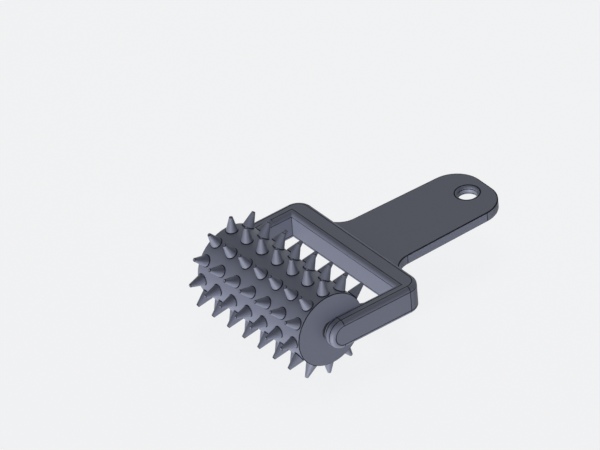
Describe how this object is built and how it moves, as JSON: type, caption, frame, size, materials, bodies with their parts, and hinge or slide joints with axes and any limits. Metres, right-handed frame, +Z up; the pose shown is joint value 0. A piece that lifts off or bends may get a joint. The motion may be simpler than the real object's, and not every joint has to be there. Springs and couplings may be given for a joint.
{
  "type": "dough docker",
  "caption": "Dough docker: a spiked roller that turns on an axle in a U-shaped yoke, with a flat paddle handle that ends in a hang hole.",
  "frame": {"origin": "under the middle of the whole tool, level with the lowest spike tips", "axes": "+X along the roller's axis, +Y along the handle towards its hang hole, +Z up, square to the handle's flat face"},
  "size_m": [0.1212, 0.1942, 0.0694],
  "materials": {
    "frame_coat": "satin slate-grey powder coat with a fine even texture, over cast aluminium",
    "roller_plastic": "satin slate-grey moulded plastic",
    "spike_plastic": "slate-grey moulded plastic, a little glossier than the drum",
    "bush_plastic": "black bearing plastic, smooth",
    "axle_steel": "ground stainless steel",
    "fastener_steel": "machined steel screws"
  },
  "bodies": {
    "frame": {"yoke": "frame_coat", "handle": "frame_coat", "handle_screws": "fastener_steel", "axle": "axle_steel", "axle_set_screws": "fastener_steel"},
    "roller": {"drum": "roller_plastic", "near_bush": "bush_plastic", "far_bush": "bush_plastic", "spike_row_01": "spike_plastic", "spike_row_02": "spike_plastic", "spike_row_03": "spike_plastic", "spike_row_04": "spike_plastic", "spike_row_05": "spike_plastic", "spike_row_06": "spike_plastic", "spike_row_07": "spike_plastic", "spike_row_08": "spike_plastic", "spike_row_09": "spike_plastic", "spike_row_10": "spike_plastic", "spike_row_11": "spike_plastic", "spike_row_12": "spike_plastic"}
  },
  "joints": [
    {"name": "roller_spin", "type": "hinge", "parent": "frame", "child": "roller", "pos_m": [0, -0.06245, 0.0347], "axis": [1, 0, 0], "continuous": true}
  ]
}
